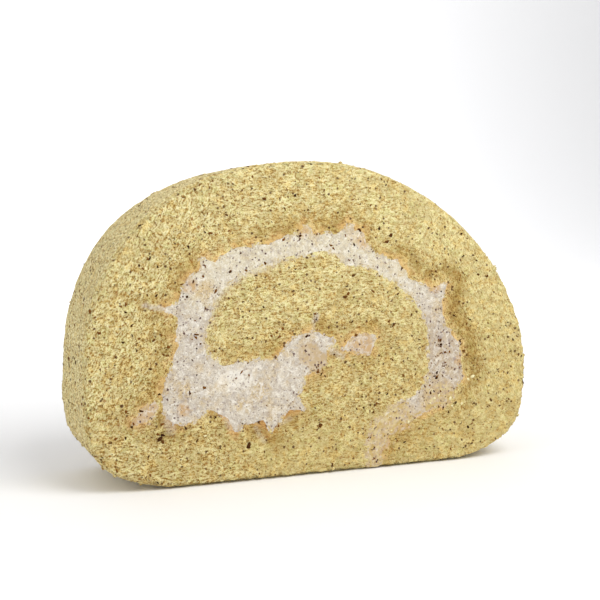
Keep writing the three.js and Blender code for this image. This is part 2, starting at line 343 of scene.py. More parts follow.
class Finish:
    """A material under construction."""

    def __init__(self, name):
        self.material = bpy.data.materials.new(name)
        self.material.use_nodes = True
        self.tree = self.material.node_tree
        self.tree.nodes.clear()
        self.place = self.node("ShaderNodeTexCoord", out="Object")
        self.x, self.z = (
            self.node("ShaderNodeSeparateXYZ", sockets={0: self.place}, out=axis) for axis in "XZ"
        )

    def node(self, kind, made=None, sockets=None, out=0):
        """Adds a node, makes its settings, fills or links its sockets, and gives one output."""
        node = self.tree.nodes.new(kind)
        for name, setting in (made or {}).items():
            if name == "stops":
                self.set_stops(node.color_ramp, setting)
            else:
                setattr(node, name, setting)
        for key, given in (sockets or {}).items():
            if isinstance(given, Value):
                self.tree.links.new(given.socket, node.inputs[key])
            elif node.inputs[key].type == "RGBA":
                node.inputs[key].default_value = (*given[:3], 1.0)
            else:
                node.inputs[key].default_value = given
        return Value(self, node.outputs[out]) if node.outputs else None

    def set_stops(self, ramp, stops):
        while len(ramp.elements) < len(stops):
            ramp.elements.new(1.0)
        for element, (position, shade) in zip(ramp.elements, stops):
            element.position = position
            element.color = (*shade, 1.0)

    def apart(self, value, level):
        """How far a value is from a level, either way."""
        return (value - level).math("ABSOLUTE")

    def vector_math(self, operation, *values, out=0):
        sockets = dict(enumerate(values))
        return self.node("ShaderNodeVectorMath", {"operation": operation}, sockets, out)

    def patch(self, x, z, radius, soft):
        """1 inside a round patch that runs through the slice, and 0 outside it. In millimetres."""
        flat = self.vector_math("MULTIPLY", self.place, (1, 0, 1))
        distance = self.vector_math("DISTANCE", flat, (x * MM, 0, z * MM), out="Value")
        return distance.rise((radius + soft) * MM, (radius - soft) * MM)

    def patches(self, sizes, soft):
        """1 inside several round patches and 0 outside them."""
        whole = 0.0
        for x, z, radius in sizes:
            whole = self.patch(x, z, radius, soft) + whole
        return whole.rise(0.0, 1.0)

    def ramp(self, value, stops):
        return self.node("ShaderNodeValToRGB", {"stops": stops}, {0: value})

    def attribute(self, name):
        return self.node("ShaderNodeAttribute", {"attribute_name": name}, out="Fac")

    def turned(self, turn, stretch):
        """The place on the piece for a pattern turned about the slice's axis and stretched."""
        sockets = {"Vector": self.place, "Rotation": (0, turn, 0), "Scale": stretch}
        return self.node("ShaderNodeMapping", {"vector_type": "TEXTURE"}, sockets)

    def noise(self, size, detail=2.0, roughness=0.5, distortion=0.0, vector=None, out=0):
        """Noise on a lattice of this size."""
        sockets = {
            "Vector": vector or self.place,
            "Scale": 1 / size,
            "Detail": detail,
            "Roughness": roughness,
            "Distortion": distortion,
        }
        return self.node("ShaderNodeTexNoise", sockets=sockets, out=out)

    def ragged(self, amount, size):
        """The place on the piece, pushed about by noise so that round patterns turn ragged."""
        push = self.noise(size, out="Color")
        return self.vector_math("MULTIPLY_ADD", push, (amount, amount, amount), self.place)

    def cells(self, spacing, share, radius, vector):
        """The distance to the nearest of scattered points, and how far a mark round it reaches:
        up to this radius in a share of the points, and nowhere in the others."""
        sockets = {"Vector": vector, "Scale": 1 / spacing}
        distance = self.node("ShaderNodeTexVoronoi", sockets=sockets)
        own = Value(self, distance.socket.node.outputs["Color"])
        chance = self.node("ShaderNodeSeparateColor", sockets={0: own})
        return distance, (chance - (1 - share)) * (radius / spacing / share)

    def spots(self, spacing, share, radius, soft, vector):
        """1 inside scattered spots of up to this radius, and 0 outside them."""
        distance, reach = self.cells(spacing, share, radius, vector)
        return (reach - distance).rise(-soft / spacing, soft / spacing)

    def rings(self, spacing, share, radius, width, vector):
        """1 on scattered rings of up to this radius, and 0 beside them."""
        distance, reach = self.cells(spacing, share, radius, vector)
        return self.apart(distance, reach).rise(width / spacing, 0.3 * width / spacing)

    def mix(self, share, first, second, blend="MIX"):
        made = {"data_type": "RGBA", "blend_type": blend}
        return self.node("ShaderNodeMix", made, {0: share, 6: first, 7: second}, 2)

    def lay(self, base, *layers):
        """The base with colours laid over it in turn, each as far as the share before it says."""
        for share, shade in layers:
            base = self.mix(share, base, shade)
        return base

    def tint(self, share, base, tint):
        """The base, multiplied by a tint as far as the share says."""
        return self.mix(share, base, self.mix(1.0, base, tint, "MULTIPLY"))

    def bump(self, height, distance, strength=1.0):
        sockets = {"Height": height, "Distance": distance, "Strength": strength}
        return self.node("ShaderNodeBump", sockets=sockets)

    def done(self, **sockets):
        """Ends the material in a Principled shader. Underscores stand for spaces in its sockets."""
        named = {key.replace("_", " "): given for key, given in sockets.items()}
        surface = self.node("ShaderNodeBsdfPrincipled", sockets=named)
        self.node("ShaderNodeOutputMaterial", sockets={"Surface": surface})
        return self.material


# ---- Mesh helpers ----------------------------------------------------------------------------


def welded_copy(node):
    """A bmesh of a CAD node's surface with its doubled corners merged."""
    bm = bmesh.new()
    bm.from_mesh(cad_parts[node].data)
    bmesh.ops.remove_doubles(bm, verts=bm.verts, dist=WELD)
    bmesh.ops.recalc_face_normals(bm, faces=bm.faces)
    return bm


def surface_tree(nodes):
    """A search tree over the surfaces of several CAD nodes."""
    whole = bmesh.new()
    for node in nodes:
        whole.from_mesh(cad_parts[node].data)
    tree = BVHTree.FromBMesh(whole)
    whole.free()
    return tree


def cut_side(face):
    """FRONT or BACK for a face of a cut face, and nothing for others."""
    if abs(face.normal.y) > CUT_NORMAL:
        return FRONT if face.normal.y < 0 else BACK
    return None


def split(bm, faces, axis, level):
    """Cuts faces along a plane square to an axis, and gives those below it and those above it."""
    square = Vector([float(other == axis) for other in range(3)])
    edges = dict.fromkeys(edge for face in faces for edge in face.edges)
    cut = bmesh.ops.bisect_plane(
        bm, geom=[*faces, *edges], plane_co=square * level, plane_no=square, dist=SNAP
    )
    halves = [], []
    for item in cut["geom"]:
        if isinstance(item, bmesh.types.BMFace):
            halves[item.calc_center_median()[axis] > level].append(item)
    return halves


def cut_grid(bm, zone, side, cell):
    """Cuts one side along a square grid in x and z, always through the middle of what is left."""
    faces = [face for face in bm.faces if face[zone] == side]
    for axis in (0, 2):
        low, high = CAD_BOX[0][axis], CAD_BOX[1][axis]
        strips = [(faces, 0, math.ceil((high - low) / cell))]
        faces = []
        while strips:
            strip, first, last = strips.pop()
            if last - first < 2 or not strip:
                faces += strip
                continue
            half = (first + last) // 2
            below, above = split(bm, strip, axis, low + half * cell)
            strips += [(below, first, half), (above, half, last)]
    merge_cells(bm, faces, cell)


def merge_cells(bm, faces, cell):
    """Makes one face of all the scraps of a surface that lie in the same square of a grid."""
    square = {}
    for face in faces:
        middle = (face.calc_center_median() - CAD_BOX[0]) / cell
        square[face] = (math.floor(middle.x), math.floor(middle.z))
    edges = dict.fromkeys(edge for face in faces for edge in face.edges)
    inner = []
    for edge in edges:
        squares = [square.get(face) for face in edge.link_faces]
        if len(squares) == 2 and squares[0] is not None and squares[0] == squares[1]:
            inner.append(edge)
    bmesh.ops.dissolve_edges(bm, edges=inner, use_verts=True)


def triangulate(bm):
    bmesh.ops.triangulate(bm, faces=[face for face in bm.faces if len(face.verts) > 3])


def refine(bm, zone, longest):
    """Halves the edges in some zones until none is longer than its zone allows."""
    triangulate(bm)
    for _ in range(HALVINGS):
        edges = dict.fromkeys(
            edge
            for face in bm.faces
            if face[zone] in longest
            for edge in face.edges
            if edge.calc_length() > longest[face[zone]]
        )
        if not edges:
            return
        bmesh.ops.subdivide_edges(bm, edges=list(edges), cuts=1)
        triangulate(bm)


def finished_piece(name, bm, material, slot, *nodes):
    """Turns a bmesh into a smooth piece that rides on the slice."""
    mesh = bpy.data.meshes.new(name)
    bm.to_mesh(mesh)
    bm.free()
    return place_piece(name, mesh, material, slot, *nodes)


def place_piece(name, mesh, material, slot, *nodes):
    mesh.polygons.foreach_set("use_smooth", [True] * len(mesh.polygons))
    mesh.materials.append(material)
    piece = bpy.data.objects.new(name, mesh)
    bpy.context.scene.collection.objects.link(piece)
    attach(piece, "root")
    if nodes:
        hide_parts(*nodes)
    return piece


def rise(value, low, high):
    """0 below low, 1 above high and smooth between them."""
    share = min(max((value - low) / (high - low), 0.0), 1.0)
    return share * share * (3 - 2 * share)


# ---- Sponge ----------------------------------------------------------------------------------


def mark_sponge_zones(bm, zone, cream):
    for face in bm.faces:
        near = cream.find_nearest(face.calc_center_median(), WALL_REACH)[0]
        face[zone] = cut_side(face) or (SKIN if near is None else WALL)


def pores(place, size, share, seed):
    """Depth from 0 to 1 of round pores in a share of cells of this size."""
    at = place / size + Vector((seed, seed, seed))
    distances, points = noise.voronoi(at)
    chosen = noise.cell(points[0] * 7.31 + Vector((0.5, 0.5, 0.5)))
    if chosen > share:
        return 0.0
    reach = 0.14 + 0.26 * (chosen / share)
    return 1 - rise(distances[0], 0.35 * reach, reach)


def crumb_relief(place, s):
    """Height of the torn crumb, and how deep in a pore the place is, from 0 to 1."""
    bent = place + noise.noise_vector(place / (3.1 * MM)) * (0.45 * MM)
    large = pores(bent, s.pore_size, 0.3, 3.7)
    small = pores(bent, s.pore_size * 0.55, 0.42, 11.2)
    fibre = noise.fractal(Vector((bent.x / 1.3, bent.y, bent.z / 0.75)) / MM, 0.7, 2.1, 3)
    depth = max(large, 0.55 * small)
    return s.fibre_depth * fibre - s.pore_depth * depth, depth


def skin_relief(place, s):
    """Height of the peeled skin: creases that run through the slice and a fine grain."""
    crease = noise.fractal(Vector((place.x / 1.6, place.y / 9, place.z / 1.6)) / MM, 0.8, 2.2, 3)
    grain = noise.noise(place / (0.9 * MM))
    return s.crease_depth * crease + 0.05 * MM * grain


def smear_share(place):
    """How much cream is smeared on the crumb here, from 0 to 1."""
    flat = Vector((place.x, place.z)) / MM
    share = 0.0
    for first, last, half, thick in SMEARS:
        first, last = Vector(first), Vector(last)
        along = last - first
        step = min(max((flat - first).dot(along) / along.length_squared, 0.0), 1.0)
        away = (flat - first - along * step).length + 0.4 * noise.noise(place / (0.8 * MM))
        share = max(share, thick * (1 - rise(away, 0.4 * half, 1.4 * half)))
    return share


def cut_unevenness(place, depth):
    """Height of the broad waves of the cut, which sponge and cream share."""
    return depth * noise.noise(Vector((place.x, 3 * place.y, place.z)) / (5.5 * MM)) - 0.12 * MM


def hold_inside(place):
    """Holds a place within the slice's own box."""
    for axis, (least, most) in enumerate(zip(*CAD_BOX)):
        place[axis] = min(max(place[axis], least), most)


def out_of_wall(vert, zone):
    """The way out of the wall faces at a corner, level with the cut faces, or nothing elsewhere."""
    out = sum((face.normal for face in vert.link_faces if face[zone] == WALL), Vector())
    out.y = 0
    return out.normalized()


def crease_zones(bm, zone):
    """Keeps a crisp edge between the cut faces and the walls between sponge and cream."""
    for edge in bm.edges:
        zones = {face[zone] for face in edge.link_faces}
        edge.smooth = not (WALL in zones and len(zones) > 1)


def shape_sponge(bm, zone, cream, s):
    """Raises the crumb and the skin, and notes on each corner what the colours need."""
    noise.seed_set(RELIEF_SEED)
    notes = {name: bm.verts.layers.float.new(name) for name in NOTES}
    bm.normal_update()
    moves = []
    for vert in bm.verts:
        zones = {face[zone] for face in vert.link_faces}
        place = vert.co
        nearest, _, _, near = cream.find_nearest(place, SEARCH)
        if nearest is None:
            near = SEARCH
        else:
            away = place - nearest
            from_heart = Vector((place.x - HEART.x, 0, place.z - HEART.z))
            vert[notes["outer"]] = away.normalized().dot(from_heart.normalized())
        vert[notes["near"]] = near / MM
        pressed = out_of_wall(vert, zone) * s.reach
        if zones == {WALL}:
            moves.append((vert, pressed))
            continue
        at_face = FRONT in zones or BACK in zones
        skin = 0.0 if WALL in zones else 1 - rise(abs(vert.normal.y), 0.05, 0.5)
        crumb, pit = crumb_relief(place, s)
        open_crumb = (1 - skin) * rise(near, 0.3 * MM, 1.5 * MM)
        vert[notes["pit"]] = pit * open_crumb
        vert[notes["skin"]] = skin
        vert[notes["smear"]] = smear_share(place) if FRONT in zones else 0.0
        height = open_crumb * crumb + skin * skin_relief(place, s)
        height += cut_unevenness(place, s.lump_depth)
        out = vert.normal.copy()
        if WALL in zones and at_face:
            out = Vector((0, -1 if FRONT in zones else 1, 0))
        moves.append((vert, out * height + pressed))
    for vert, move in moves:
        vert.co += move
        hold_inside(vert.co)


def wound_noise(f, size, stretch):
    """Noise drawn out along the sheet, which runs level at the top and down at the sides."""
    level, left, right = (
        f.noise(size, 3, 0.62, 0.5, f.turned(math.radians(turn), (1 + (stretch - 1) * share, 1, 1)))
        for turn, share in ((0, 1), (-55, 0.6), (62, 0.9))
    )
    above = f.z.rise(0.008, 0.02)
    left_share = f.x.rise(-0.014, -0.036) * above
    right_share = f.x.rise(0.014, 0.036) * above
    return level + (left - level) * left_share + (right - level) * right_share


def cream_base(f):
    """Colour of the cream: warm above, cooler in the pool, clouded, streaked, stained, with painted
    glare and glints.
    """
    s = settings("cream")
    patch = f.noise(5 * MM, 3, 0.6)
    cloud = f.noise(1.2 * MM, 3, 0.65, 0.8)
    fine = f.noise(0.28 * MM, 3, 0.7)
    smudge = f.noise(2.4 * MM, 2, 0.55, 1.5)
    high = (f.z * 1000.0 + (patch - 0.5) * 30.0).rise(34, 50)

    stains = (
        (cloud.rise(0.5, 0.68) * 0.4, s.stained),
        (patch.rise(0.5, 0.66) * 0.55, s.stained),
        *((f.patch(*at, 1.2) * cloud.rise(0.36, 0.58) * 0.8, s.stained) for at in STAINED_PATCHES),
    )
    streaks = (
        (cloud.rise(0.5, 0.34) * 0.6, s.pale),
        (fine.rise(0.49, 0.64) * 0.3, s.speck),
        (fine.rise(0.49, 0.36) * 0.5, s.pale),
        (smudge.rise(0.52, 0.68) * (0.4 - high * 0.15), s.speck),
        (smudge.rise(0.46, 0.34) * 0.2, s.pale),
        # Painted highlight: white glare on the pool.
        (f.patches(GLARE_PATCHES, 1.5) * smudge.rise(0.62, 0.5) * 0.55, s.pale),
    )
    soiled = f.patch(*SOILED_ZONE, 7.0)
    torn = f.patches(TORN_PATCHES, 2.5)
    heart = f.patches(HEART_STAINS, 0.7)
    thin = f.patches(THIN_PATCHES, 0.8)
    ragged = f.ragged(0.5 * MM, 0.26 * MM)
    # Painted highlights: pale rings round bubbles, laid over the torn patches.
    bubble_glint = f.rings(2.4 * MM, 0.5, 0.8 * MM, 0.16 * MM, f.ragged(0.5 * MM, 0.9 * MM))
    sunk = f.spots(1.4 * MM, 0.55, 0.6 * MM, 0.35 * MM, ragged)
    motes = f.spots(0.6 * MM, 0.45, 0.22 * MM, 0.06 * MM, ragged)
    zones = (
        (soiled * (0.2 + cloud.rise(0.44, 0.56) * 0.4), s.soiled),
        (torn * (0.35 + cloud.rise(0.42, 0.58) * 0.55), s.torn),
        # Painted highlight: the bubble rings in pale cream.
        (torn * bubble_glint * 0.7, s.pale),
        (heart * (0.65 + cloud.rise(0.4, 0.6) * 0.35), s.tan),
        (thin * (0.28 + cloud.rise(0.42, 0.56) * 0.45), s.thin),
        (sunk * (0.35 + soiled * 0.5), s.speck),
        (motes * 0.9, s.speck),
    )
    base = f.lay(f.mix(high, s.cool, s.warm), *stains, *streaks, *zones)
    return base, cloud * 0.6 + fine * 0.4, ragged


def crumb_threads(f, s):
    """Fibres of the crumb, the pale threads along them and the gaps between them, which carry
    painted highlights and painted shade.
    """
    fibre = wound_noise(f, s.fibre_size, 2.3)
    thread = f.apart(wound_noise(f, 1.4 * s.fibre_size, 2.2), 0.5).rise(0.035, 0.0)
    gap = f.apart(wound_noise(f, 1.8 * s.fibre_size, 1.9), 0.5).rise(0.05, 0.01)
    return fibre, thread, gap * fibre.rise(0.52, 0.44)


def skin_colour(f, s, hue):
    """Colour of the peeled skin, streaked from the front to the back of the slice."""
    streak = f.noise(0.4 * MM, 2, 0.6, 0.0, f.turned(0.0, (1, 2, 1)))
    stops = ((0.4, s.deep), (0.45, s.dark), (0.48, s.skin), (0.53, s.light), (0.6, s.bright))
    return f.tint(hue.rise(0.48, 0.6) * 0.8, f.ramp(streak, stops), s.golden)


def crumb_material(s):
    """Fibrous yellow crumb with painted shade in its pores and gaps and towards the bottom, darker
    where it is moist, peach beside the cream.
    """
    f = Finish("sponge_crumb")
    pit, skin, near, outer, smear = (f.attribute(name) for name in NOTES)
    cream, _, ragged = cream_base(f)

    grain = f.noise(0.24 * MM, 1, 0.6)
    patch = f.noise(8 * MM, 3, 0.55)
    cloud = f.noise(3.5 * MM, 2, 0.5)
    spread = f.noise(1.6 * MM, 3, 0.65)
    hue = f.noise(1.9 * MM, 3, 0.65, 0.6)

    # How much the crumb's light and dark stand out, partly its own tone and partly painted light
    # and shade, less so low down and far right.
    fibre, thread, gap = crumb_threads(f, s)
    tone = fibre * 0.38 + grain * 0.34 + 0.14 + thread * 0.035 + (cloud - 0.5) * 0.03
    calm = 1.0 - (f.x + f.z * 0.4).rise(0.02, 0.06) * 0.35
    calm = calm * (1.0 - f.z.rise(0.016, 0.006) * f.x.rise(-0.03, -0.01) * 0.35)
    calm = calm + f.x.rise(-0.01, -0.03) * 0.12

    # Zones beside the cream, measured from its ragged edge.
    side = f.patch(*HEART_ZONE, 2.0).math("MAXIMUM", outer.rise(-0.2, 0.5))
    torn = f.patches(TORN_PATCHES, 2.5)
    away = near + (spread - 0.5) * (3.4 + (1 - side) * 2.5 + torn * 5.0) + (fibre - 0.5) * 1.4
    left = f.x.rise(-0.008, -0.028)
    right = f.x.rise(0.012, 0.03)
    wet = (patch + right * 0.1 + (spread - 0.5) * 0.6).rise(0.42, 0.58)
    moist = (away - right * 1.5).rise(6.5, 2.0) * (0.1 + side * 0.9) * (0.25 + wet * 0.75)
    moist = moist * (1.0 - right * f.z.rise(0.024, 0.014) * 0.75)
    tone = (tone - 0.5) * (calm + moist * (0.35 + right * 0.45)) + 0.5

    # The crumb itself: its own tone and shifts of hue, with painted highlights on the fibres and
    # painted shade in its gaps and pores.
    stops = ((0.38, s.deep), (0.44, s.dark), (0.49, s.middle), (0.54, s.light), (0.6, s.bright))
    crumb = f.ramp(tone, stops)
    # Painted shade in the gaps between the fibres and at the bottoms of the pores.
    crumb = f.mix(gap * calm * 0.85, crumb, s.deep)
    crumb = f.mix(pit.rise(0.2, 1.0) * 0.2, crumb, s.deep)
    crumb = f.tint(hue.rise(0.5, 0.62) * 0.8, crumb, s.golden)
    crumb = f.tint(hue.rise(0.48, 0.38) * 0.8, crumb, s.green)
    # Painted shade: the crumb is tinted darker towards the bottom, where less light falls.
    low = (f.z - f.x * 0.1 + (patch - 0.5) * 0.03).rise(0.06, 0.0)
    crumb = f.tint(low * (0.4 - f.x.rise(-0.036, -0.05) * 0.2), crumb, s.soaked_and_shade)

    # Crumb that is moist, shaded, or peach along the cream.
    crumb = f.mix(moist * 0.1, crumb, s.middle)
    crumb = f.tint(moist * (1.0 - right * away.rise(2.8, 0.6) * 0.6), crumb, s.soaked_and_shade)
    crumb = f.tint(moist * right * away.rise(1.5, 4.0) * 0.7, crumb, s.soaked_and_shade)
    shaded = f.patches(SHADED_PATCHES, 2.0) * spread.rise(0.38, 0.56)
    crumb = f.tint(shaded * 0.7, crumb, s.soaked_and_shade)
    crumb = f.tint(patch.rise(0.5, 0.7) * 0.25, crumb, s.soaked_and_shade)
    broken = cloud - f.z.rise(0.024, 0.014) * 0.06
    edge = away.rise(2.8, 0.4) * (0.1 + side * 0.9) * (0.12 + broken.rise(0.42, 0.54) * 0.88)
    crumb = f.tint(edge * 0.8, crumb, s.margin)
    crumb = f.mix(edge * 0.4, crumb, s.peach)
    rust = away.rise(2.4, 0.3) * f.z.rise(0.02, 0.014) * f.x.rise(0.004, -0.004)
    crumb = f.tint(rust * spread.rise(0.36, 0.6) * 0.8, crumb, s.rust)

    # Over both crumb and skin: stains, grit, cream that has run or been smeared, and tea dust.
    bared = cloud.rise(0.46, 0.56) * 0.5
    stain = f.spots(1.5 * MM, 0.3, 0.36 * MM, 0.2 * MM, ragged)
    grit = f.spots(0.8 * MM, 0.6, 0.34 * MM, 0.1 * MM, ragged)
    film = away.rise(0.42 + (1 - side) * 0.4 + torn * 1.0, 0.12)
    veil = away.rise(2.6, 0.2) * (1.0 - side) * f.patch(*VEIL_ZONE, 4.0)
    fine = f.spots(0.64 * MM, 0.5, 0.25 * MM, 0.08 * MM, ragged)
    dust = f.spots(1.1 * MM, 0.5, 0.34 * MM, 0.08 * MM, ragged)
    base = f.lay(
        f.mix(skin.rise(0.1, 1.0) * (0.85 - bared), crumb, skin_colour(f, s, hue)),
        (stain * (0.5 + left * 0.25), s.stain),
        (grit * hue.rise(0.5, 0.56) * (0.25 + left * 0.55), s.deep),
        (film * (0.95 - torn * 0.3), cream),
        (veil * (0.45 + spread.rise(0.4, 0.6) * 0.35), cream),
        (smear * (0.5 + fibre.rise(0.4, 0.6) * 0.45), cream),
        (fine * 0.7, s.stain),
        (dust * 0.9, s.dust),
    )

    relief = (tone - pit * 0.3 - gap * 0.1) * (1 - film * 0.6)
    normal = f.bump(relief, 0.2 * MM, 0.7)
    return f.done(Base_Color=base, Roughness=0.92 - film * 0.35, Normal=normal, IOR=1.4)


class SWISSROLL_OT_sponge(bpy.types.Operator):
    """Dress the rolled sheet with open crumb on its cut faces and a peeled skin outside"""

    bl_idname = "swissroll.sponge"
    bl_label = "Sponge"

    def execute(self, context):
        s = settings("sponge")
        cream = surface_tree(CREAM_NODES)
        bm = welded_copy("sponge")
        zone = bm.faces.layers.int.new("zone")
        mark_sponge_zones(bm, zone, cream)
        for side, cell in ((FRONT, s.front_cell), (BACK, s.back_cell)):
            cut_grid(bm, zone, side, cell)
        refine(bm, zone, {SKIN: s.skin_cell})
        shape_sponge(bm, zone, cream, s)
        crease_zones(bm, zone)
        finished_piece("sponge_crumb", bm, crumb_material(s), "sponge", "sponge")
        return {"FINISHED"}


# ---- Cream -----------------------------------------------------------------------------------


def shape_cream(bm, zone, sponge, s):
    """Presses the cream out to the sponge and leaves the marks of the knife on its cut faces."""
    rim = bm.verts.layers.float.new("rim")
    bm.normal_update()
    moves = []
    for vert in bm.verts:
        cut = {face[zone] for face in vert.link_faces} & {FRONT, BACK}
        place = vert.co
        nearest, _, _, near = sponge.find_nearest(place, SEARCH)
        vert[rim] = (SEARCH if nearest is None else near) / MM
        move = out_of_wall(vert, zone) * s.reach
        if cut:
            wave = noise.fractal(Vector((place.x / 5, place.y, place.z / 2.6)) / MM, 0.8, 2.0, 3)
            height = cut_unevenness(place, settings("sponge").lump_depth)
            height += s.wave_depth * wave * rise(vert[rim], 0.3, 2.0)
            move.y += height * (-1 if FRONT in cut else 1)
        moves.append((vert, move))
    for vert, move in moves:
        vert.co += move
        hold_inside(vert.co)


def cream_material(s):
    """Smooth moist cream with tea on it and crumbs along its edge."""
    f = Finish("cream_filling")
    rim = f.attribute("rim")
    base, relief, ragged = cream_base(f)
    spread = f.noise(1.6 * MM, 3, 0.65)
    sponge = settings("sponge")
    torn = f.patches(TORN_PATCHES, 2.5)
    bits = (rim + (spread - 0.5) * (3.4 + torn * 8.0) - torn * 0.5).rise(0.3, -0.1)
    crumb = f.mix(spread.rise(0.4, 0.6), sponge.dark, sponge.middle)
    mottled = f.noise(0.8 * MM, 3, 0.7, 0.5)
    dust = f.spots(0.76 * MM, 0.55, 0.28 * MM, 0.05 * MM, ragged)
    base = f.lay(
        base,
        (torn * 0.35, s.stained),
        (torn * mottled.rise(0.48, 0.56) * 0.6, crumb),
        (torn * mottled.rise(0.44, 0.36) * 0.5, s.speck),
        (bits * 0.75, crumb),
        (dust * (1.0 - f.patch(*POOL_ZONE, 5.0) * 0.75), s.dust),
    )
    return f.done(
        Base_Color=base,
        Roughness=0.55,
        Normal=f.bump(relief, 0.12 * MM, 0.5),
        IOR=1.4,
        Subsurface_Weight=0.1,
        Subsurface_Radius=(0.9, 0.7, 0.5),
        Subsurface_Scale=0.6 * MM,
    )


class SWISSROLL_OT_cream(bpy.types.Operator):
    """Dress the cream swirl and the two lumps of cream apart from it"""

    bl_idname = "swissroll.cream"
    bl_label = "Cream"

    def execute(self, context):
        s = settings("cream")
        material = cream_material(s)
        sponge = surface_tree(["sponge"])
        for node in CREAM_NODES:
            bm = welded_copy(node)
            zone = bm.faces.layers.int.new("zone")
            for face in bm.faces:
                face[zone] = cut_side(face) or WALL
            for side in (FRONT, BACK):
                cut_grid(bm, zone, side, s.cell)
            refine(bm, zone, {})
            shape_cream(bm, zone, sponge, s)
            crease_zones(bm, zone)
            finished_piece(node + "_filling", bm, material, "cream", node)
        return {"FINISHED"}


# ---- Specks and crumbs -----------------------------------------------------------------------


def surface_points(pieces, count, wanted, rng):
    """Random places on the wanted faces of some pieces, spread by area, each with its normal."""
    corners = []
    for piece in pieces:
        mesh = piece.data
        mesh.calc_loop_triangles()
        triangles = np.empty(len(mesh.loop_triangles) * 3, np.int32)
        mesh.loop_triangles.foreach_get("vertices", triangles)
        places = np.empty(len(mesh.vertices) * 3)
        mesh.vertices.foreach_get("co", places)
        corners.append(places.reshape(-1, 3)[triangles.reshape(-1, 3)])
    corners = np.concatenate(corners)
    cross = np.cross(corners[:, 1] - corners[:, 0], corners[:, 2] - corners[:, 0])
    area = np.linalg.norm(cross, axis=1)
    normals = cross / np.maximum(area, 1e-15)[:, None]
    weight = area * wanted(corners.mean(axis=1), normals)
    chosen = rng.choice(len(weight), count, p=weight / weight.sum())
    first, second = rng.random(count), rng.random(count)
    over = first + second > 1
    first[over], second[over] = 1 - first[over], 1 - second[over]
    c = corners[chosen]
    places = c[:, 0] + first[:, None] * (c[:, 1] - c[:, 0]) + second[:, None] * (c[:, 2] - c[:, 0])
    return list(zip(places, normals[chosen]))


def marked_points(pieces, marks, shape):
    """Places on the front for marks given as x, z and length in millimetres, each with its normal,
    and the size there of a lump of this shape."""
    whole = bmesh.new()
    for piece in pieces:
        whole.from_mesh(piece.data)
    tree = BVHTree.FromBMesh(whole)
    whole.free()
    rays = (tree.ray_cast(Vector((x, -30, z)) * MM, Vector((0, 1, 0))) for x, z, _ in marks)
    points = [(np.array(place), np.array(normal)) for place, normal, _, _ in rays]
    lengths = np.array([mark[2] for mark in marks]) * MM
    return points, lengths[:, None] * np.array(shape)


def random_lengths(s, count, power, rng):
    """Lengths between the smallest and the largest, most of them short where the power is high."""
    return s.smallest + (s.largest - s.smallest) * rng.random(count) ** power


def dressed_pieces():
    """The sponge and then the pieces of cream, as they are dressed."""
    names = ["sponge_crumb"] + [node + "_filling" for node in CREAM_NODES]
    return [bpy.data.objects[name] for name in names]


def scatter(name, points, sizes, material, detail, roughness, rng):
    """Makes one piece of uneven lumps that lie along the surface, each with a shade of its own."""
    ball = bmesh.new()
    bmesh.ops.create_icosphere(ball, subdivisions=detail, radius=0.5)
    corners = np.array([vert.co for vert in ball.verts])
    faces = np.array([[vert.index for vert in face.verts] for face in ball.faces])
    ball.free()

    count = len(points)
    places, normals = (np.array(part) for part in zip(*points))
    level = np.cross(normals, rng.normal(size=(count, 3)))
    level /= np.linalg.norm(level, axis=1)[:, None]
    axes = np.stack([level, np.cross(normals, level), normals], axis=1)
    swell = 1 + roughness * (rng.random((count, len(corners), 1)) - 0.5)
    lumps = places[:, None] + np.einsum("nci,nij->ncj", corners * swell * sizes[:, None], axes)
    lumps = np.clip(lumps, *np.array(CAD_BOX))

    mesh = bpy.data.meshes.new(name)
    first = len(corners) * np.arange(count)[:, None, None]
    mesh.from_pydata(lumps.reshape(-1, 3), [], (faces + first).reshape(-1, 3))
    shades = np.repeat(rng.random(count), len(corners))
    mesh.attributes.new("shade", "FLOAT", "POINT").data.foreach_set("value", shades)
    place_piece(name, mesh, material, "sponge")


def cut_faces(places, normals):
    """Which faces lie on the cut faces and face forwards or back."""
    return (np.abs(normals[:, 1]) > 0.6) & (np.abs(places[:, 1]) > 11 * MM)


def outside(places, normals):
    """Which faces lie on the skin, clear of the underside."""
    return (np.abs(normals[:, 1]) < 0.4) & (places[:, 2] > 2 * MM)


def speck_material(s):
    f = Finish("tea_leaf")
    shade = f.attribute("shade")
    grain = f.noise(0.25 * MM, 2, 0.6)
    base = f.mix((shade + (grain - 0.5) * 0.4).rise(0.0, 1.0), s.dark, s.brown)
    return f.done(Base_Color=base, Roughness=0.9, Normal=f.bump(grain, 0.05 * MM, 0.4), IOR=1.1)


